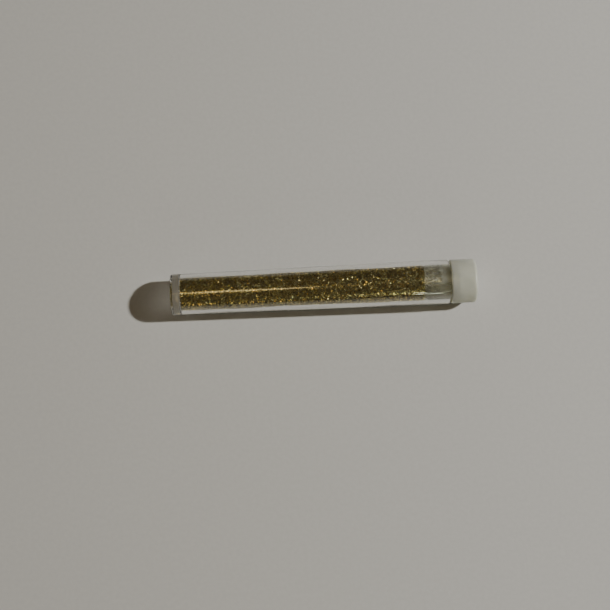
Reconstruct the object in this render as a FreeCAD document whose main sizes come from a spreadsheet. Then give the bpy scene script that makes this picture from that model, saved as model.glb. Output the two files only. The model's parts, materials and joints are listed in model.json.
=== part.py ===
# A clear sample vial lying on its side: a moulded tube with a flat base, a hollow push-in stopper, and the
# fine gold-coloured flakes that it holds.
#
# Every sub-part is drawn along its own X axis, from the tube's base at X = 0 to the stopper's end, with Z
# up. One placement then lays them all down. The tube is moulded with draft, so it rests along its side with
# its mouth leaning up by a fraction of a degree. The origin is on the surface, under the middle of the
# length.
import FreeCAD, Part
import Sketcher
import math
import os

# alias: (millimetres, or degrees where it says so, and the meaning)
DIMENSIONS = {
    "tube_length": (75.0, "base face to rim"),
    "mouth_diameter": (12.0, "outside, over the parallel land"),
    "base_diameter": (11.0, "outside, at the base"),
    "land_length": (8.0, "parallel land outside the mouth"),
    "bore_diameter": (9.6, "inside, over the stopper's seat"),
    "floor_diameter": (9.0, "inside, at the floor"),
    "seat_length": (7.0, "parallel seat for the stopper, from the rim"),
    "base_thickness": (2.4, "base face to floor"),
    "base_round": (0.4, "outer corner of the base"),
    "floor_round": (0.4, "inner corner of the floor"),
    "rim_round": (0.25, "outer corner of the rim"),
    "lead_in": (0.2, "chamfer inside the rim"),
    "recess_diameter": (8.4, "shallow recess in the base face"),
    "recess_depth": (0.6, "depth of that recess"),
    "gate_diameter": (1.5, "gate mark, on base and stopper"),
    "gate_height": (0.2, "how far a gate mark stands up"),
    "shoulder_gap": (0.5, "rim to the stopper's shoulder"),
    "head_diameter": (11.8, "stopper's head"),
    "head_length": (6.8, "shoulder to end face"),
    "head_round": (0.7, "outer corner of the head"),
    "shoulder_round": (0.25, "corner of the shoulder"),
    "dish_diameter": (7.6, "shallow dish in the end face"),
    "dish_depth": (0.3, "depth of that dish"),
    "plug_diameter": (9.4, "stopper's skirt"),
    "plug_length": (7.25, "shoulder to lip"),
    "lip_taper": (0.25, "how far the lip tapers in"),
    "lip_length": (0.9, "length of that taper"),
    "bead_diameter": (9.54, "sealing beads, a running fit in the seat"),
    "bead_width": (0.8, "width of a bead at its root"),
    "bead_sink": (0.05, "bead's root inside the skirt"),
    "bead_pitch": (2.2, "one bead to the next"),
    "bead_start": (1.5, "lip to the first bead"),
    "bead_count": (2.0, "sealing beads on the skirt"),
    "hollow_diameter": (7.9, "stopper's hollow, at the lip"),
    "hollow_end_diameter": (7.4, "stopper's hollow, at its end"),
    "hollow_depth": (10.4, "lip to the end of the hollow"),
    "hollow_round": (0.8, "corner at the end of the hollow"),
    "fill_at_floor": (8.4, "level of the flakes above the surface, at the tube's floor"),
    "fill_at_lip": (9.15, "level of the flakes above the surface, at the stopper's lip"),
    "lining_thickness": (0.15, "flakes held to the bore above that level"),
    "lining_arc": (90.0, "degrees of the bore that they cover"),
    "fill_gap": (0.05, "flakes to the wall around them"),
    "fill_step": (0.12, "tube's flakes to the stopper's lip"),
}

SAME_PLACE = 1e-4  # how far apart, in millimetres, two measures may be and still count as one
WHOLE_RING = 0.9  # the share of a full circle over which an edge counts as a ring
LEAST_LEFT = 0.5  # the shares of a bulk that must be left once its surface is cut level
MOST_LEFT = 0.97

doc = FreeCAD.newDocument("sample_vial")


def make_sheet():
    """The driving dimensions, one row each: name, value, meaning."""
    sheet = doc.addObject("Spreadsheet::Sheet", "Dimensions")
    for row, (alias, (value, meaning)) in enumerate(DIMENSIONS.items(), start=1):
        sheet.set(f"A{row}", alias)
        sheet.set(f"B{row}", str(value))
        sheet.set(f"C{row}", meaning)
        sheet.setAlias(f"B{row}", alias)
    doc.recompute()
    return sheet


def expression(text):
    """The text with each alias pointed at the sheet."""
    words = text.replace("(", " ( ").replace(")", " ) ").split()
    return " ".join(f"Dimensions.{word}" if word in DIMENSIONS else word for word in words)


def origin_feature(body, role):
    return next(feature for feature in body.Origin.OriginFeatures if feature.Role == role)


def new_body(label):
    body = doc.addObject("PartDesign::Body", label)
    body.Label = label
    return body


def side_sketch(body, name, corners):
    """A closed outline in the body's XZ plane. Each corner is a pair of expressions, along the axis and out
    from it, and the word axis puts the corner on the axis of revolution."""
    sketch = body.newObject("Sketcher::SketchObject", name)
    sketch.AttachmentSupport = [(origin_feature(body, "XZ_Plane"), "")]
    sketch.MapMode = "FlatFace"
    count = len(corners)
    start = [FreeCAD.Vector(10 + 5 * (i % 2), 1 + i, 0) for i in range(count)]
    for i in range(count):
        sketch.addGeometry(Part.LineSegment(start[i], start[(i + 1) % count]), False)
    for i in range(count):
        sketch.addConstraint(Sketcher.Constraint("Coincident", i, 2, (i + 1) % count, 1))
    for i, (along, out) in enumerate(corners):
        if along == "base":
            sketch.addConstraint(Sketcher.Constraint("PointOnObject", i, 1, -2))
        else:
            bind(sketch, "DistanceX", i, along)
        if out == "axis":
            sketch.addConstraint(Sketcher.Constraint("PointOnObject", i, 1, -1))
        else:
            bind(sketch, "DistanceY", i, out)
    return sketch


def bind(sketch, kind, corner, text):
    """Holds one corner at a distance from the origin that the sheet works out."""
    index = sketch.addConstraint(Sketcher.Constraint(kind, -1, 1, corner, 1, 1.0))
    sketch.setExpression(f"Constraints[{index}]", expression(text))


def turned(body, name, corners, cut=False, arc="360"):
    """Adds or cuts the solid that the outline makes as it turns round the X axis, half the arc each way."""
    sketch = side_sketch(body, name + "_outline", corners)
    feature = body.newObject("PartDesign::Groove" if cut else "PartDesign::Revolution", name)
    feature.Profile = sketch
    feature.ReferenceAxis = (sketch, ["H_Axis"])
    feature.Midplane = True
    feature.setExpression("Angle", expression(arc))
    doc.recompute()
    return feature


def rings_at(feature, along, radius):
    """The feature's circular edges round the X axis at that place and radius."""
    found = []
    for index, edge in enumerate(feature.Shape.Edges, start=1):
        curve = edge.Curve
        if not isinstance(curve, Part.Circle) or edge.Length < WHOLE_RING * math.tau * curve.Radius:
            continue
        if abs(curve.Center.x - along) < SAME_PLACE and abs(curve.Radius - radius) < SAME_PLACE:
            found.append(f"Edge{index}")
    if not found:
        raise RuntimeError(f"{feature.Name} has no ring at {along}, radius {radius}")
    return found


def dressed(body, kind, name, along, radius, size_property, alias):
    """A fillet or chamfer on the ring at that place and radius, its size bound to the sheet."""
    base = body.Tip
    edges = rings_at(base, along, radius)
    feature = body.newObject("PartDesign::" + kind, name)
    feature.Base = (base, edges)
    feature.setExpression(size_property, expression(alias))
    doc.recompute()
    return feature


def rounded(body, name, along, radius, alias):
    return dressed(body, "Fillet", name, along, radius, "Radius", alias)


def make_tube(size):
    """The clear moulding: a drafted barrel, a drafted bore with a parallel seat, and a thick flat base."""
    body = new_body("vial_tube")
    turned(body, "barrel", [
        ("base", "axis"),
        ("base", "base_diameter / 2"),
        ("tube_length - land_length", "mouth_diameter / 2"),
        ("tube_length", "mouth_diameter / 2"),
        ("tube_length", "axis"),
    ])
    turned(body, "bore", [
        ("base_thickness", "axis"),
        ("base_thickness", "floor_diameter / 2"),
        ("tube_length - seat_length", "bore_diameter / 2"),
        ("tube_length", "bore_diameter / 2"),
        ("tube_length", "axis"),
    ], cut=True)
    turned(body, "base_recess", [
        ("base", "axis"),
        ("base", "recess_diameter / 2"),
        ("recess_depth", "recess_diameter / 2 - recess_depth"),
        ("recess_depth", "axis"),
    ], cut=True)
    turned(body, "base_gate_mark", [
        ("recess_depth - gate_height", "axis"),
        ("recess_depth - gate_height", "gate_diameter / 2"),
        ("recess_depth + gate_height", "gate_diameter / 2"),
        ("recess_depth + gate_height", "axis"),
    ])
    rim_at = size["tube_length"]
    rounded(body, "base_corner", 0.0, size["base_diameter"] / 2, "base_round")
    rounded(body, "floor_corner", size["base_thickness"], size["floor_diameter"] / 2, "floor_round")
    rounded(body, "rim_corner", rim_at, size["mouth_diameter"] / 2, "rim_round")
    dressed(body, "Chamfer", "mouth_lead_in", rim_at, size["bore_diameter"] / 2, "Size", "lead_in")
    return body


def make_stopper(size):
    """The push-in stopper: a round head, a hollow skirt with sealing beads, and a tapered lip."""
    body = new_body("stopper")
    lip = "tube_length + shoulder_gap - plug_length"
    shoulder = "tube_length + shoulder_gap"
    end = "tube_length + shoulder_gap + head_length"
    turned(body, "head_and_skirt", [
        (lip, "axis"),
        (lip, "plug_diameter / 2 - lip_taper"),
        (lip + " + lip_length", "plug_diameter / 2"),
        (shoulder, "plug_diameter / 2"),
        (shoulder, "head_diameter / 2"),
        (end, "head_diameter / 2"),
        (end, "axis"),
    ])
    first_bead = lip + " + bead_start"
    bead = turned(body, "sealing_bead", [
        (first_bead, "plug_diameter / 2 - bead_sink"),
        (first_bead + " + bead_width / 4", "bead_diameter / 2"),
        (first_bead + " + bead_width * 3 / 4", "bead_diameter / 2"),
        (first_bead + " + bead_width", "plug_diameter / 2 - bead_sink"),
    ])
    beads = body.newObject("PartDesign::LinearPattern", "sealing_beads")
    beads.Originals = [bead]
    beads.Direction = (bead.Profile[0], ["H_Axis"])
    beads.setExpression("Length", expression("bead_pitch * (bead_count - 1)"))
    beads.setExpression("Occurrences", expression("bead_count"))
    body.Tip = beads
    doc.recompute()
    turned(body, "hollow", [
        (lip, "axis"),
        (lip, "hollow_diameter / 2"),
        (lip + " + hollow_depth", "hollow_end_diameter / 2"),
        (lip + " + hollow_depth", "axis"),
    ], cut=True)
    turned(body, "end_dish", [
        (end + " - dish_depth", "axis"),
        (end + " - dish_depth", "dish_diameter / 2 - dish_depth * 2"),
        (end, "dish_diameter / 2"),
        (end, "axis"),
    ], cut=True)
    turned(body, "end_gate_mark", [
        (end + " - dish_depth - gate_height", "axis"),
        (end + " - dish_depth - gate_height", "gate_diameter / 2"),
        (end + " - dish_depth + gate_height", "gate_diameter / 2"),
        (end + " - dish_depth + gate_height", "axis"),
    ])
    shoulder_at = size["tube_length"] + size["shoulder_gap"]
    end_at = shoulder_at + size["head_length"]
    hollow_end_at = shoulder_at - size["plug_length"] + size["hollow_depth"]
    rounded(body, "head_corner", end_at, size["head_diameter"] / 2, "head_round")
    rounded(body, "shoulder_corner", shoulder_at, size["head_diameter"] / 2, "shoulder_round")
    rounded(body, "hollow_corner", hollow_end_at, size["hollow_end_diameter"] / 2, "hollow_round")
    return body


def cut_level(body, start, end):
    """Takes off what would stand above the flakes' surface, whose height at each end is given for the vial
    lying down. The cosine of the vial's lean is within 0.003% of 1, and is left out."""
    lean = "(mouth_diameter - base_diameter) / 2 / (tube_length - land_length)"
    height = "{} - base_diameter / 2 - ({}) * " + lean
    sketch = side_sketch(body, body.Label + "_above", [
        (start, height.format("fill_at_floor", start)),
        (end, height.format("fill_at_lip", end)),
        (end, "mouth_diameter"),
        (start, "mouth_diameter"),
    ])
    pocket = body.newObject("PartDesign::Pocket", body.Label + "_surface")
    pocket.Profile = sketch
    pocket.Type = "ThroughAll"
    pocket.Midplane = True
    whole = pocket.BaseFeature.Shape.Volume
    doc.recompute()
    if not LEAST_LEFT * whole < pocket.Shape.Volume < MOST_LEFT * whole:
        raise RuntimeError(body.Label + ": the surface was not cut")


def make_flake_bed(size):
    """The flakes in the tube: one closed bulk from the floor to the stopper's lip, with a level surface."""
    body = new_body("flake_bed")
    end = "tube_length + shoulder_gap - plug_length - fill_step"
    turned(body, "tube_bulk", [
        ("base_thickness + fill_gap", "axis"),
        ("base_thickness + fill_gap", "floor_diameter / 2 - fill_gap"),
        ("tube_length - seat_length", "bore_diameter / 2 - fill_gap"),
        (end, "bore_diameter / 2 - fill_gap"),
        (end, "axis"),
    ])
    floor_at = size["base_thickness"] + size["fill_gap"]
    rounded(body, "bulk_corner", floor_at, size["floor_diameter"] / 2 - size["fill_gap"], "floor_round")
    cut_level(body, "base_thickness", end)
    return body


def make_wall_flakes():
    """The flakes that static holds to the bore over the bed, as one thin closed shell."""
    body = new_body("wall_flakes")
    start = "base_thickness + floor_round"
    end = "tube_length - seat_length"
    turned(body, "lining", [
        (start, "floor_diameter / 2 - fill_gap - lining_thickness"),
        (start, "floor_diameter / 2 - fill_gap"),
        (end, "bore_diameter / 2 - fill_gap"),
        (end, "bore_diameter / 2 - fill_gap - lining_thickness"),
    ], arc="lining_arc")
    return body


def make_stopper_flakes(size):
    """The flakes that fill the stopper's hollow."""
    body = new_body("stopper_flakes")
    lip = "tube_length + shoulder_gap - plug_length"
    end = lip + " + hollow_depth - fill_gap"
    turned(body, "hollow_bulk", [
        (lip, "axis"),
        (lip, "hollow_diameter / 2 - fill_gap"),
        (end, "hollow_end_diameter / 2 - fill_gap"),
        (end, "axis"),
    ])
    lip_at = size["tube_length"] + size["shoulder_gap"] - size["plug_length"]
    end_at = lip_at + size["hollow_depth"] - size["fill_gap"]
    end_radius = size["hollow_end_diameter"] / 2 - size["fill_gap"]
    rounded(body, "hollow_bulk_corner", end_at, end_radius, "hollow_round")
    return body


def lying_down(size):
    """The placement that rests the barrel's drafted side on the surface, middle of the length at X = 0."""
    rise = (size["mouth_diameter"] - size["base_diameter"]) / 2
    lean = math.atan2(rise, size["tube_length"] - size["land_length"])
    length = size["tube_length"] + size["shoulder_gap"] + size["head_length"]
    middle = FreeCAD.Vector(-length / 2 * math.cos(lean), 0, size["base_diameter"] / 2 * math.cos(lean))
    return FreeCAD.Placement(middle, FreeCAD.Rotation(FreeCAD.Vector(0, -1, 0), math.degrees(lean)))


def check(parts):
    """Stops on any failed object, and on a sub-part that isn't made of valid closed solids."""
    for thing in doc.Objects:
        if "Invalid" in thing.State or "Error" in thing.State:
            raise RuntimeError(f"{thing.Name} failed: {thing.State}")
    for part in parts:
        shape = part.Shape
        if shape.isNull() or not shape.isValid() or not shape.Solids:
            raise RuntimeError(f"{part.Label} is not a valid solid")


def main():
    sheet = make_sheet()
    size = {alias: float(sheet.get(alias)) for alias in DIMENSIONS}
    parts = [
        make_tube(size),
        make_stopper(size),
        make_flake_bed(size),
        make_wall_flakes(),
        make_stopper_flakes(size),
    ]
    resting = lying_down(size)
    for part in parts:
        part.Placement = resting
    doc.recompute()
    check(parts)
    os.makedirs("parts", exist_ok=True)
    for part in parts:
        part.Shape.exportStep(f"parts/{part.Label}.step")
        box = part.Shape.BoundBox
        print(
            f"{part.Label}: {len(part.Shape.Solids)} solid(s), {part.Shape.Volume:.2f} mm3,"
            f" X {box.XMin:.3f}..{box.XMax:.3f}, Y {box.YMin:.3f}..{box.YMax:.3f},"
            f" Z {box.ZMin:.3f}..{box.ZMax:.3f}"
        )


main()
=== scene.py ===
"""The finished sample vial around its CAD frame: the moulded tube, the milky stopper and the gold flakes."""

import json
import math
import random

import bmesh
import bpy
from mathutils import Matrix, Vector, noise


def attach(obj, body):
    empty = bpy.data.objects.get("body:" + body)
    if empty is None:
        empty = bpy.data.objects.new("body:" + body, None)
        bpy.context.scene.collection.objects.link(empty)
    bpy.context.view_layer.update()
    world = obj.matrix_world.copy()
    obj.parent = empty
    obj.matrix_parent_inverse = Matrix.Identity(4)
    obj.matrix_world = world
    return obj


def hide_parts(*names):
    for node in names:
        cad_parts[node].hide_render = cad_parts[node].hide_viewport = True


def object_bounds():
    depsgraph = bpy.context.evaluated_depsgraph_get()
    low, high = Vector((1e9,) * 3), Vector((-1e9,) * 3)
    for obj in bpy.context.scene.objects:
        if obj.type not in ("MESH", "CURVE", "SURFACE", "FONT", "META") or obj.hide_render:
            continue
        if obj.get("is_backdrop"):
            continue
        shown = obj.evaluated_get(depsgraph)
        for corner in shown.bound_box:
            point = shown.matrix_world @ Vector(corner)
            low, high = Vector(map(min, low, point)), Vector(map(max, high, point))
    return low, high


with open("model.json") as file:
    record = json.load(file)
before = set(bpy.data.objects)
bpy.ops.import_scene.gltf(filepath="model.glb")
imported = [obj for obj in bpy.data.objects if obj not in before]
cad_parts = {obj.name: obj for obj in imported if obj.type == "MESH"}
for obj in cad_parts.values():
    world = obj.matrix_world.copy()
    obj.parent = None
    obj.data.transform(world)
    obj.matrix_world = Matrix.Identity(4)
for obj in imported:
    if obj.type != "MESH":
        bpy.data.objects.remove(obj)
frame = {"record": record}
cad_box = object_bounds()

MM = 0.001
scene = bpy.context.scene
mounts = {mount["name"]: mount for mount in frame["record"]["mounts"]}

# ---------------------------------------------------------------- sizes
# in millimetres. A place is a distance along the vial's own axis, from the tube's base.
TUBE_LENGTH = 75.0
MOUTH_RADIUS = mounts["barrel_land"]["dims"]["r_mm"]
BASE_RADIUS = 5.5
LAND_START = 67.0
SEAT_START = 68.0
SEAT_RADIUS = 4.8
FLOOR_AT = 2.4
FLOOR_RADIUS = 4.5
RECESS_DEPTH = 0.6
RECESS_RADIUS = 4.2
LEAD_IN = 0.2
GATE_RADIUS = 0.75
GATE_HEIGHT = 0.2
LIP_AT = 68.25
LIP_TAPER = 0.25
LIP_LENGTH = 0.9
SHOULDER_AT = 75.5
STOPPER_END = 82.3
HEAD_RADIUS = MOUTH_RADIUS - 0.1
SKIRT_RADIUS = 4.7
BEAD_RADIUS = 4.77
BEAD_STARTS = (LIP_AT + 1.5, LIP_AT + 3.7)
BEAD_WIDTH = 0.8
BEAD_FLANK = 0.2
HOLLOW_RADIUS = 3.95
HOLLOW_END = 78.65
HOLLOW_END_RADIUS = 3.7
HOLLOW_ROUND = 0.8
DISH_DEPTH = 0.3
DISH_RADIUS = 3.8
LEVEL_AT_FLOOR = 2.88  # the bed's surface, above the vial's axis
LEVEL_AT_LIP = 3.14
TURN_STEPS = 160
SAME_PLACE = 1e-4  # how far apart two measures may be and still count as one

FLAKE_RADIUS = 0.14
FLAKE_THICKNESS = 0.03
SKIN = 0.34  # the outer flakes' layer, between the bulk with painted shade and the wall
WALL_GAP = 0.06  # that layer to the wall
BULK_STEP = 0.3
FLAT_SHARE = 0.36  # of the outer flakes, lying flat to the wall
FLAT_TILT = math.radians(3.5)
LOOSE_TILT = math.radians(34)
MOST_TILT = math.radians(80)
LARGE_SHARE = 0.05
LARGE_SIZES = (1.3, 1.7)
USUAL_SIZES = (0.75, 1.15)
DEEPEST = -0.12  # how far a loose flake sinks into the bulk
BED_FLAKES = 42000
ROUND_FLAKES = 51600  # all round the bore, of which those over the bed are kept
STOPPER_FLAKES = 5200
BED_STRETCHES = ("base", "near_base", "middle", "near_mouth", "mouth")
WALL_STRETCHES = ("base", "mouth")

# where the vial lies: its base centre, and the lean that its drafted side gives it
along = Vector(mounts["stopper_end_face"]["axis"]).normalized()
base_centre = Vector(mounts["base_face"]["pos_m"]) * Vector((1, 0, 1))
turned_to = along.to_track_quat("X", "Z").to_matrix().to_4x4()
LYING = Matrix.Translation(base_centre) @ turned_to @ Matrix.Scale(MM, 4)


# ---------------------------------------------------------------- camera
def make_camera():
    """Almost overhead, a little toward the near side, with the vial lying a few degrees off level."""
    place = Vector((-0.0123, -0.0517, 0.3456))
    look_at = Vector((-0.0051, -0.0037, 0.0))
    roll = math.radians(-2.84)
    forward = (look_at - place).normalized()
    right = forward.cross(Vector((0, 1, 0))).normalized()
    up = right.cross(forward)
    turn = Matrix((right, up, -forward)).transposed() @ Matrix.Rotation(roll, 3, "Z")
    data = bpy.data.cameras.new("camera")
    data.lens = 75.0
    data.sensor_width = 36.0
    data.clip_start = 0.01
    camera = bpy.data.objects.new("camera", data)
    camera.matrix_world = Matrix.Translation(place) @ turn.to_4x4()
    scene.collection.objects.link(camera)
    scene.camera = camera


# ---------------------------------------------------------------- shader helpers
def new_material(name):
    """A new material, its node tree and its Principled node."""
    material = bpy.data.materials.new(name)
    material.use_nodes = True
    tree = material.node_tree
    return material, tree, tree.nodes["Principled BSDF"]


def set_sockets(node, values):
    for socket, value in values.items():
        node.inputs[socket].default_value = value


def add_node(tree, kind, settings=None, sockets=None):
    """A new node of that kind, with its settings and its sockets' values."""
    node = tree.nodes.new(kind)
    for key, value in (settings or {}).items():
        setattr(node, key, value)
    set_sockets(node, sockets or {})
    return node


def link(tree, source, target):
    tree.links.new(source, target)


def ramp(tree, source, stops, smooth=False):
    """A colour ramp on that value. Each stop is a place and a colour or a grey."""
    node = add_node(tree, "ShaderNodeValToRGB")
    node.color_ramp.interpolation = "EASE" if smooth else "LINEAR"
    elements = node.color_ramp.elements
    while len(elements) < len(stops):
        elements.new(0.5)
    for element, (place, colour) in zip(elements, stops):
        element.position = place
        element.color = (colour, colour, colour, 1) if isinstance(colour, float) else (*colour, 1)
    link(tree, source, node.inputs["Fac"])
    return node.outputs["Color"]


def object_place(tree, scale=(1, 1, 1), turn=(0, 0, 0)):
    """The piece's own coordinates, in metres, stretched and turned."""
    place = add_node(tree, "ShaderNodeTexCoord")
    mapping = add_node(tree, "ShaderNodeMapping", sockets={"Scale": scale, "Rotation": turn})
    link(tree, place.outputs["Object"], mapping.inputs["Vector"])
    return mapping.outputs["Vector"]


def new_group(name, inputs, outputs):
    """A shader node group with those named sockets: its tree, its input node and its output node."""
    tree = bpy.data.node_groups.new(name, "ShaderNodeTree")
    for label, kind, value in inputs:
        socket = tree.interface.new_socket(label, in_out="INPUT", socket_type=kind)
        if value is not None:
            socket.default_value = value
    for label, kind in outputs:
        tree.interface.new_socket(label, in_out="OUTPUT", socket_type=kind)
    return tree, tree.nodes.new("NodeGroupInput"), tree.nodes.new("NodeGroupOutput")


def use_group(tree, group, sockets=None):
    return add_node(tree, "ShaderNodeGroup", {"node_tree": group}, sockets)


def make_handling_marks():
    """Fine scratches in two directions and faint finger marks, as a mask and a height."""
    tree, given, made = new_group(
        "handling marks",
        [("Vector", "NodeSocketVector", None), ("Scratches", "NodeSocketFloat", 0.5),
         ("Smears", "NodeSocketFloat", 0.3)],
        [("Mask", "NodeSocketFloat"), ("Height", "NodeSocketFloat")],
    )
    lines = []
    for turn, stretch in (((0, 0, 0.12), (60, 2600, 2600)), ((0.5, 0.3, 1.1), (90, 1900, 1900))):
        mapping = add_node(tree, "ShaderNodeMapping", sockets={"Scale": stretch, "Rotation": turn})
        link(tree, given.outputs["Vector"], mapping.inputs["Vector"])
        streaks = add_node(tree, "ShaderNodeTexNoise", sockets={"Scale": 1.0, "Detail": 2.0})
        link(tree, mapping.outputs["Vector"], streaks.inputs["Vector"])
        lines.append(ramp(tree, streaks.outputs["Fac"], [(0.66, 0.0), (0.72, 1.0)]))
    both = add_node(tree, "ShaderNodeMath", {"operation": "MAXIMUM"})
    link(tree, lines[0], both.inputs[0])
    link(tree, lines[1], both.inputs[1])
    scratched = add_node(tree, "ShaderNodeMath", {"operation": "MULTIPLY"})
    link(tree, both.outputs[0], scratched.inputs[0])
    link(tree, given.outputs["Scratches"], scratched.inputs[1])
    smear = add_node(tree, "ShaderNodeTexNoise", sockets={"Scale": 140.0, "Detail": 3.0, "Distortion": 0.6})
    link(tree, given.outputs["Vector"], smear.inputs["Vector"])
    smeared = add_node(tree, "ShaderNodeMath", {"operation": "MULTIPLY"})
    link(tree, ramp(tree, smear.outputs["Fac"], [(0.45, 0.0), (0.75, 1.0)], smooth=True), smeared.inputs[0])
    link(tree, given.outputs["Smears"], smeared.inputs[1])
    mask = add_node(tree, "ShaderNodeMath", {"operation": "ADD", "use_clamp": True})
    link(tree, scratched.outputs[0], mask.inputs[0])
    link(tree, smeared.outputs[0], mask.inputs[1])
    link(tree, mask.outputs[0], made.inputs["Mask"])
    link(tree, scratched.outputs[0], made.inputs["Height"])
    return tree


def see_lamps_through(tree, shader, tint):
    """Lets lamps light what is seen through a clear wall: its shadow rays pass, dimmed by the tint. The wall
    still shades the surface that the vial lies on, because it bends that light away."""
    path = add_node(tree, "ShaderNodeLightPath")
    passing = add_node(tree, "ShaderNodeMath", {"operation": "MULTIPLY", "use_clamp": True})
    link(tree, path.outputs["Is Shadow Ray"], passing.inputs[0])
    link(tree, path.outputs["Transmission Depth"], passing.inputs[1])
    open_side = add_node(tree, "ShaderNodeBsdfTransparent", sockets={"Color": (*tint, 1)})
    mix = add_node(tree, "ShaderNodeMixShader")
    link(tree, passing.outputs[0], mix.inputs["Fac"])
    link(tree, shader.outputs["BSDF"], mix.inputs[1])
    link(tree, open_side.outputs["BSDF"], mix.inputs[2])
    link(tree, mix.outputs["Shader"], tree.nodes["Material Output"].inputs["Surface"])


# ---------------------------------------------------------------- materials
def make_clear_polystyrene(name, marks, tint):
    """Clear, glossy and a little worn, with the faint ripple that moulding leaves along the wall."""
    material, tree, shader = new_material(name)
    set_sockets(shader, {"Base Color": (0.975, 0.978, 0.965, 1), "Transmission Weight": 1.0, "IOR": 1.59})
    worn = use_group(tree, marks, {"Scratches": 0.55, "Smears": 0.11})
    link(tree, object_place(tree), worn.inputs["Vector"])
    roughness = add_node(tree, "ShaderNodeMapRange", sockets={"To Min": 0.015, "To Max": 0.26})
    link(tree, worn.outputs["Mask"], roughness.inputs["Value"])
    link(tree, roughness.outputs["Result"], shader.inputs["Roughness"])
    ripple = add_node(tree, "ShaderNodeTexNoise", sockets={"Scale": 1.0, "Detail": 1.0})
    link(tree, object_place(tree, (45, 420, 420)), ripple.inputs["Vector"])
    moulded = add_node(tree, "ShaderNodeBump", sockets={"Strength": 0.10, "Distance": 0.0006})
    link(tree, ripple.outputs["Fac"], moulded.inputs["Height"])
    scratched = add_node(tree, "ShaderNodeBump", {"invert": True}, {"Strength": 0.25, "Distance": 0.00003})
    link(tree, worn.outputs["Height"], scratched.inputs["Height"])
    link(tree, moulded.outputs["Normal"], scratched.inputs["Normal"])
    link(tree, scratched.outputs["Normal"], shader.inputs["Normal"])
    see_lamps_through(tree, shader, tint)
    return material


def make_natural_polyethylene(name, marks, clear, milky_dark, milky_light, smooth, worn_rough, tint):
    """Milky and waxy: light goes in, spreads and comes out. The thinner the wall, the clearer it is, and
    what lies close behind it shows blurred."""
    material, tree, shader = new_material(name)
    set_sockets(shader, {
        "Transmission Weight": clear, "IOR": 1.51,
        "Subsurface Weight": 1.0, "Subsurface Radius": (1.0, 0.95, 0.8), "Subsurface Scale": 0.003,
    })
    cloud = add_node(tree, "ShaderNodeTexNoise", sockets={"Scale": 260.0, "Detail": 3.0})
    link(tree, object_place(tree), cloud.inputs["Vector"])
    milky = ramp(tree, cloud.outputs["Fac"], [(0.35, milky_dark), (0.65, milky_light)], smooth=True)
    link(tree, milky, shader.inputs["Base Color"])
    worn = use_group(tree, marks, {"Scratches": 0.35, "Smears": 0.5})
    link(tree, object_place(tree), worn.inputs["Vector"])
    roughness = add_node(tree, "ShaderNodeMapRange", sockets={"To Min": smooth, "To Max": worn_rough})
    link(tree, worn.outputs["Mask"], roughness.inputs["Value"])
    link(tree, roughness.outputs["Result"], shader.inputs["Roughness"])
    grain = add_node(tree, "ShaderNodeTexNoise", sockets={"Scale": 3800.0, "Detail": 2.0})
    link(tree, object_place(tree), grain.inputs["Vector"])
    satin = add_node(tree, "ShaderNodeBump", sockets={"Strength": 0.18, "Distance": 0.00004})
    link(tree, grain.outputs["Fac"], satin.inputs["Height"])
    scratched = add_node(tree, "ShaderNodeBump", {"invert": True}, {"Strength": 0.2, "Distance": 0.00004})
    link(tree, worn.outputs["Height"], scratched.inputs["Height"])
    link(tree, satin.outputs["Normal"], scratched.inputs["Normal"])
    link(tree, scratched.outputs["Normal"], shader.inputs["Normal"])
    see_lamps_through(tree, shader, tint)
    return material


def make_flake_film(name, colour, roughness):
    """Metallised film in one tone. A flake is cut from one film, and its neighbours from others."""
    material, tree, shader = new_material(name)
    set_sockets(shader, {
        "Base Color": (*colour, 1), "Metallic": 1.0, "Roughness": roughness,
    })
    return material


def make_bed_painted_shade():
    """The flakes deep in the bed, with their shade painted into the colour: near-black cells with a few dull
    gold faces.
    """
    material, tree, shader = new_material("flakes in painted shade")
    cells = add_node(tree, "ShaderNodeTexVoronoi", sockets={"Scale": 2600.0})
    link(tree, object_place(tree), cells.inputs["Vector"])
    split = add_node(tree, "ShaderNodeSeparateColor")
    link(tree, cells.outputs["Color"], split.inputs["Color"])
    # Painted shade: these tones are near black because the flakes lie in shade, not because their film is
    # dark.
    tone = ramp(tree, split.outputs["Red"], [
        (0.0, (0.010, 0.007, 0.002)), (0.55, (0.035, 0.024, 0.006)), (0.85, (0.11, 0.075, 0.018)),
        (1.0, (0.30, 0.20, 0.045)),
    ])
    link(tree, tone, shader.inputs["Base Color"])
    metal = ramp(tree, split.outputs["Green"], [(0.3, 0.2), (0.7, 0.9)])
    link(tree, metal, shader.inputs["Metallic"])
    set_sockets(shader, {"Roughness": 0.45})
    tilt = add_node(tree, "ShaderNodeBump", sockets={"Strength": 0.9, "Distance": 0.0002})
    link(tree, split.outputs["Blue"], tilt.inputs["Height"])
    link(tree, tilt.outputs["Normal"], shader.inputs["Normal"])
    return material


def make_paper():
    """Plain pale paper with a trace of tooth."""
    material, tree, shader = new_material("pale paper")
    tooth = add_node(tree, "ShaderNodeTexNoise", sockets={"Scale": 900.0, "Detail": 4.0})
    link(tree, object_place(tree), tooth.inputs["Vector"])
    shades = [(0.35, (0.588, 0.5733, 0.5439)), (0.65, (0.612, 0.5967, 0.5661))]
    link(tree, ramp(tree, tooth.outputs["Fac"], shades), shader.inputs["Base Color"])
    bump = add_node(tree, "ShaderNodeBump", sockets={"Strength": 0.12, "Distance": 0.0001})
    link(tree, tooth.outputs["Fac"], bump.inputs["Height"])
    link(tree, bump.outputs["Normal"], shader.inputs["Normal"])
    set_sockets(shader, {"Roughness": 0.8, "Specular IOR Level": 0.25})
    return material


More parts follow.
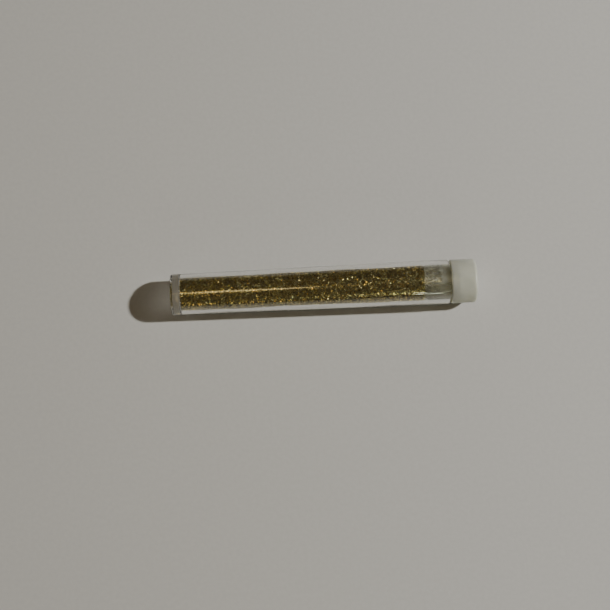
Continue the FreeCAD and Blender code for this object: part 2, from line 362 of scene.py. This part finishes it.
# ---------------------------------------------------------------- mesh helpers
def finish_piece(name, bm, materials, sharp=30.0):
    """Makes a piece of a shape drawn in millimetres along the vial's axis: laid down, in metres, and smooth
    but for its sharp edges."""
    bm.transform(LYING)
    mesh = bpy.data.meshes.new(name)
    bm.to_mesh(mesh)
    bm.free()
    for material in materials:
        mesh.materials.append(material)
    mesh.shade_smooth()
    mesh.set_sharp_from_angle(angle=math.radians(sharp))
    piece = bpy.data.objects.new(name, mesh)
    scene.collection.objects.link(piece)
    return piece


def ring_edges(bm, place, radius):
    """The edges of the ring at that place along the axis and that distance from it."""
    def on_ring(vert):
        out = math.hypot(vert.co.y, vert.co.z)
        return abs(vert.co.x - place) < SAME_PLACE and abs(out - radius) < SAME_PLACE
    return [edge for edge in bm.edges if all(on_ring(vert) for vert in edge.verts)]


def turned_solid(outline, rounds):
    """Turns an outline, from axis to axis, into a closed solid, then rounds its rings. Each round is a
    ring's place and radius, the round's size, and its segments."""
    bm = bmesh.new()
    corners = [bm.verts.new((place, 0, radius)) for place, radius in outline]
    sides = [bm.edges.new(pair) for pair in zip(corners, corners[1:])]
    bmesh.ops.spin(
        bm, geom=corners + sides, cent=(0, 0, 0), axis=(1, 0, 0), dvec=(0, 0, 0), angle=math.tau,
        steps=TURN_STEPS, use_merge=True,
    )
    bmesh.ops.remove_doubles(bm, verts=bm.verts, dist=SAME_PLACE / 10)
    bmesh.ops.recalc_face_normals(bm, faces=bm.faces)
    for place, radius, size, segments in rounds:
        bmesh.ops.bevel(
            bm, geom=ring_edges(bm, place, radius), offset=size, offset_type="OFFSET", segments=segments,
            profile=0.5, affect="EDGES", material=-1,
        )
    return bm


# ---------------------------------------------------------------- pieces
def make_tube(wall, shaded_thick_base):
    """The clear moulding, with its recessed base, drafted barrel and bore, and rounded rim."""
    gate_at = RECESS_DEPTH - GATE_HEIGHT
    outline = [
        (gate_at, 0), (gate_at, GATE_RADIUS), (RECESS_DEPTH, GATE_RADIUS),
        (RECESS_DEPTH, RECESS_RADIUS - RECESS_DEPTH), (0, RECESS_RADIUS), (0, BASE_RADIUS),
        (LAND_START, MOUTH_RADIUS), (TUBE_LENGTH, MOUTH_RADIUS), (TUBE_LENGTH, SEAT_RADIUS + LEAD_IN),
        (TUBE_LENGTH - LEAD_IN, SEAT_RADIUS), (SEAT_START, SEAT_RADIUS), (FLOOR_AT, FLOOR_RADIUS),
        (FLOOR_AT, 0),
    ]
    bm = turned_solid(outline, [
        (0, BASE_RADIUS, 0.4, 5), (0, RECESS_RADIUS, 0.12, 3), (TUBE_LENGTH, MOUTH_RADIUS, 0.25, 4),
        (FLOOR_AT, FLOOR_RADIUS, 0.4, 4), (gate_at, GATE_RADIUS, 0.08, 2),
    ])
    # Faces short of the floor take the base's copy of the glass, which lets less lamp light through: painted
    # shade on what shows through the base.
    for face in bm.faces:
        face.material_index = int(face.calc_center_median().x < FLOOR_AT)
    piece = finish_piece("clear_tube", bm, [wall, shaded_thick_base])
    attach(piece, "vial")
    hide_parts("vial_tube")


def make_stopper(thick, thin):
    """The push-in moulding: a hollow skirt with a tapered lip and two sealing beads, and a dished head."""
    lip_radius = SKIRT_RADIUS - LIP_TAPER
    outline = [
        (HOLLOW_END, 0), (HOLLOW_END, HOLLOW_END_RADIUS), (LIP_AT, HOLLOW_RADIUS), (LIP_AT, lip_radius),
        (LIP_AT + LIP_LENGTH, SKIRT_RADIUS),
    ]
    for start in BEAD_STARTS:
        end = start + BEAD_WIDTH
        outline += [
            (start, SKIRT_RADIUS), (start + BEAD_FLANK, BEAD_RADIUS), (end - BEAD_FLANK, BEAD_RADIUS),
            (end, SKIRT_RADIUS),
        ]
    dish_at = STOPPER_END - DISH_DEPTH
    gate_at = dish_at + GATE_HEIGHT
    outline += [
        (SHOULDER_AT, SKIRT_RADIUS), (SHOULDER_AT, HEAD_RADIUS), (STOPPER_END, HEAD_RADIUS),
        (STOPPER_END, DISH_RADIUS), (dish_at, DISH_RADIUS - 2 * DISH_DEPTH), (dish_at, GATE_RADIUS),
        (gate_at, GATE_RADIUS), (gate_at, 0),
    ]
    bm = turned_solid(outline, [
        (STOPPER_END, HEAD_RADIUS, 0.7, 6), (SHOULDER_AT, HEAD_RADIUS, 0.25, 3),
        (HOLLOW_END, HOLLOW_END_RADIUS, HOLLOW_ROUND, 5), (STOPPER_END, DISH_RADIUS, 0.2, 3),
        (LIP_AT, lip_radius, 0.15, 3), (LIP_AT, HOLLOW_RADIUS, 0.15, 3),
    ])
    for face in bm.faces:
        face.material_index = int(face.calc_center_median().x < SHOULDER_AT - 0.01)
    piece = finish_piece("milky_stopper", bm, [thick, thin])
    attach(piece, "stopper")
    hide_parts("stopper")


def flake_shape():
    """One hexagonal cut flake, flat on the XY plane and centred on it."""
    bm = bmesh.new()
    bmesh.ops.create_circle(bm, cap_ends=True, segments=6, radius=FLAKE_RADIUS)
    raised = bmesh.ops.extrude_face_region(bm, geom=bm.faces[:])["geom"]
    top = [part for part in raised if isinstance(part, bmesh.types.BMVert)]
    bmesh.ops.translate(bm, vec=(0, 0, FLAKE_THICKNESS), verts=top)
    bmesh.ops.translate(bm, vec=(0, 0, -FLAKE_THICKNESS / 2), verts=bm.verts)
    bmesh.ops.recalc_face_normals(bm, faces=bm.faces)
    mesh = bpy.data.meshes.new("one flake")
    bm.to_mesh(mesh)
    bm.free()
    return mesh


def round_bulk(name, start, end, start_radius, end_radius, levels=None, rounds=()):
    """A tapered round bar along the axis, in steps short enough to be made lumpy, as a mesh in millimetres.
    With levels, it is cut off flat at those heights above the axis, at its start and its end. The rounds
    are turned_solid's."""
    steps = int((end - start) / BULK_STEP)
    outline = [(start, 0)]
    for i in range(steps + 1):
        share = i / steps
        outline.append((start + share * (end - start), start_radius + share * (end_radius - start_radius)))
    outline.append((end, 0))
    bm = turned_solid(outline, rounds)
    if levels:
        out = Vector((levels[0] - levels[1], 0, end - start)).normalized()
        cut = bmesh.ops.bisect_plane(
            bm, geom=bm.verts[:] + bm.edges[:] + bm.faces[:], plane_co=(start, 0, levels[0]), plane_no=out,
            clear_outer=True,
        )
        rim = [part for part in cut["geom_cut"] if isinstance(part, bmesh.types.BMEdge)]
        bmesh.ops.contextual_create(bm, geom=rim)
        bmesh.ops.recalc_face_normals(bm, faces=bm.faces)
    mesh = bpy.data.meshes.new(name)
    bm.to_mesh(mesh)
    bm.free()
    return mesh


def spots_on(mesh, count, dice):
    """That many places spread evenly over a mesh, each with its normal."""
    mesh.calc_loop_triangles()
    triangles = mesh.loop_triangles
    total = 0.0
    reach = []
    for triangle in triangles:
        total += triangle.area
        reach.append(total)
    for triangle in dice.choices(triangles, cum_weights=reach, k=count):
        a, b, c = (mesh.vertices[i].co for i in triangle.vertices)
        u, v = dice.random(), dice.random()
        if u + v > 1:
            u, v = 1 - u, 1 - v
        yield a + (b - a) * u + (c - a) * v, triangle.normal.copy()


def lay_flake(place, normal, tilt, size, dice):
    """The matrix that puts a flake of that relative size in place, turned to the normal, tilted and spun."""
    facing = normal.to_track_quat("Z", "Y").to_matrix().to_4x4()
    lean = Matrix.Rotation(dice.uniform(0, math.tau), 4, "Z") @ Matrix.Rotation(tilt, 4, "X")
    spin = Matrix.Rotation(dice.uniform(0, math.tau), 4, "Z")
    return Matrix.Translation(place) @ facing @ lean @ spin @ Matrix.Scale(size, 4)


def join_flakes(name, flake, places, films, shares, dice):
    """One piece made of a flake at each place, each cut from one of the films."""
    bm = bmesh.new()
    for _ in places:
        bm.from_mesh(flake)
    verts, faces = list(bm.verts), list(bm.faces)
    corners, sides = len(flake.vertices), len(flake.polygons)
    for i, place in enumerate(places):
        for vert in verts[i * corners:(i + 1) * corners]:
            vert.co = place @ vert.co
        film = dice.choices(range(len(films)), weights=shares)[0]
        for face in faces[i * sides:(i + 1) * sides]:
            face.material_index = film
    return finish_piece(name, bm, films)


def make_heap(name, mesh, material, body, node, pattern_shift):
    """The bulk behind the outer flakes, with painted shade, made lumpy."""
    sink, lump_height, lumps_per_mm = 0.10, 0.12, 2.1
    bm = bmesh.new()
    bm.from_mesh(mesh)
    bm.normal_update()
    for vert in bm.verts:
        lump = noise.noise(vert.co * lumps_per_mm + Vector((pattern_shift, 0, 0)))
        vert.co -= vert.normal * (sink + lump_height * lump)
    piece = finish_piece(name, bm, [material], sharp=180.0)
    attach(piece, body)
    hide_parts(node)


def outer_places(mesh, count, dice):
    """Places for the flakes that show, in the skin round the bulk: some flat to the wall, most tilted."""
    places = []
    for spot, normal in spots_on(mesh, count, dice):
        flat = dice.random() < FLAT_SHARE
        tilt = min(abs(dice.gauss(0, FLAT_TILT if flat else LOOSE_TILT)), MOST_TILT)
        sizes = LARGE_SIZES if dice.random() < LARGE_SHARE else USUAL_SIZES
        size = dice.uniform(*sizes)
        need = size * (FLAKE_RADIUS * math.sin(tilt) + FLAKE_THICKNESS)
        top = SKIN - WALL_GAP - need
        lift = top if flat else dice.uniform(min(DEEPEST, top), top)
        places.append(lay_flake(spot + normal * lift, normal, tilt, size, dice))
    return places


def over_bed(place):
    """Whether a place is in the upper quarter of the bore, over the bed."""
    return place.translation.z > abs(place.translation.y)


def join_stretches(prefix, stretches, places, node, flake, films, shares, dice):
    """The flakes at those places in the tube, as one piece for each stretch of it."""
    places = sorted(places, key=lambda place: place.translation.x)
    each = math.ceil(len(places) / len(stretches))
    for i, stretch in enumerate(stretches):
        piece = join_flakes(prefix + stretch, flake, places[i * each:(i + 1) * each], films, shares, dice)
        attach(piece, "vial")
        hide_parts(node)


def make_flakes(films, shares, shade):
    """The bed, the flakes on the wall over it and the flakes in the stopper's hollow."""
    flake = flake_shape()
    dice = random.Random(7)
    ends = (FLOOR_AT + SKIN, LIP_AT - SKIN, FLOOR_RADIUS - SKIN, SEAT_RADIUS - SKIN)
    bed = round_bulk("bed bulk", *ends, levels=(LEVEL_AT_FLOOR - SKIN, LEVEL_AT_LIP - SKIN))
    make_heap("flakes_bed_core", bed, shade, "vial", "flake_bed", 0.0)
    places = outer_places(bed, BED_FLAKES, dice)
    join_stretches("flakes_bed_", BED_STRETCHES, places, "flake_bed", flake, films, shares, dice)
    whole = round_bulk("whole bulk", *ends)
    places = [place for place in outer_places(whole, ROUND_FLAKES, dice) if over_bed(place)]
    join_stretches("flakes_on_wall_", WALL_STRETCHES, places, "wall_flakes", flake, films, shares, dice)
    ends = (LIP_AT + SKIN, HOLLOW_END - SKIN, HOLLOW_RADIUS - SKIN, HOLLOW_END_RADIUS - SKIN)
    corner = (HOLLOW_END - SKIN, HOLLOW_END_RADIUS - SKIN, HOLLOW_ROUND - SKIN, 4)
    hollow = round_bulk("stopper bulk", *ends, rounds=[corner])
    make_heap("flakes_in_stopper_core", hollow, shade, "stopper_fill", "stopper_flakes", 5.0)
    places = outer_places(hollow, STOPPER_FLAKES, dice)
    piece = join_flakes("flakes_in_stopper", flake, places, films, shares, dice)
    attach(piece, "stopper_fill")
    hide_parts("stopper_flakes")


# ---------------------------------------------------------------- stage
def make_floor():
    """The pale sheet that the vial lies on."""
    bm = bmesh.new()
    bmesh.ops.create_grid(bm, x_segments=4, y_segments=4, size=1.5)
    mesh = bpy.data.meshes.new("floor")
    bm.to_mesh(mesh)
    bm.free()
    mesh.materials.append(make_paper())
    floor = bpy.data.objects.new("floor", mesh)
    scene.collection.objects.link(floor)
    floor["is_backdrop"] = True


def make_lamp(name, place, aim, width, depth, watts, colour, shape="RECTANGLE"):
    """A soft lamp at a place, in metres, facing an aim. Width runs level and depth runs across it."""
    back = (Vector(place) - Vector(aim)).normalized()
    data = bpy.data.lights.new(name, "AREA")
    data.shape = shape
    data.size = width
    data.size_y = depth
    data.energy = watts
    data.color = colour
    lamp = bpy.data.objects.new(name, data)
    lamp.matrix_world = Matrix.Translation(place) @ back.to_track_quat("Z", "Y").to_matrix().to_4x4()
    scene.collection.objects.link(lamp)


def make_lights():
    """A small high key lamp, a warm one overhead and a low window on the near side, in a dim warm room."""
    vial = (0, 0, 0.006)
    make_lamp("key", (0.875, 0.132, 0.811), vial, 0.05, 0.05, 13.4, (0.98, 0.985, 0.96))
    over = Vector((-0.145, -0.035, 0))
    place = over + Vector((0, 0, 0.60))
    make_lamp("overhead", place, over, 0.22, 0.10, 0.15, (1.0, 0.77, 0.36), "ELLIPSE")
    make_lamp("near window", (0.19, -0.90, 0.37), vial, 0.17, 0.11, 0.40, (0.96, 1.0, 0.80))
    world = bpy.data.worlds.new("room")
    world.use_nodes = True
    set_sockets(world.node_tree.nodes["Background"], {"Color": (1.0, 0.79, 0.56, 1), "Strength": 0.055})
    scene.world = world


def main():
    make_camera()
    marks = make_handling_marks()
    films = [
        make_flake_film("bright gold film", (0.93, 0.74, 0.30), 0.14),
        make_flake_film("deep gold film", (0.69, 0.56, 0.23), 0.19),
        make_flake_film("olive gold film", (0.51, 0.49, 0.23), 0.24),
        make_flake_film("brown gold film", (0.26, 0.235, 0.13), 0.28),
    ]
    wall = make_clear_polystyrene("clear polystyrene, wall", marks, (0.90, 0.90, 0.88))
    # The thick base is a darker, mauve copy of the wall's glass: its tint dims the lamp light that reaches
    # what shows through the base, as painted shade.
    shaded_thick_base = make_clear_polystyrene("clear polystyrene, thick base, painted shade", marks, (0.46, 0.39, 0.41))
    make_tube(wall, shaded_thick_base)
    head = make_natural_polyethylene(
        "natural polyethylene, thick", marks, clear=0.30, milky_dark=(0.58, 0.585, 0.51),
        milky_light=(0.65, 0.65, 0.58), smooth=0.40, worn_rough=0.62, tint=(0.66, 0.66, 0.60),
    )
    # The thin skirt is clearer, as a thin wall is, and its milky tone is set darker than the head's: painted
    # shade for the skirt inside the tube.
    skirt = make_natural_polyethylene(
        "natural polyethylene, thin, painted shade", marks, clear=0.86, milky_dark=(0.42, 0.41, 0.33),
        milky_light=(0.50, 0.49, 0.41), smooth=0.20, worn_rough=0.40, tint=(0.70, 0.69, 0.62),
    )
    make_stopper(head, skirt)
    make_flakes(films, (3, 5, 5, 4), make_bed_painted_shade())
    make_floor()
    make_lights()
    boxes = {"cad": cad_box, "visual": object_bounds()}
    {name: [list(corner) for corner in box] for name, box in boxes.items()}


main()
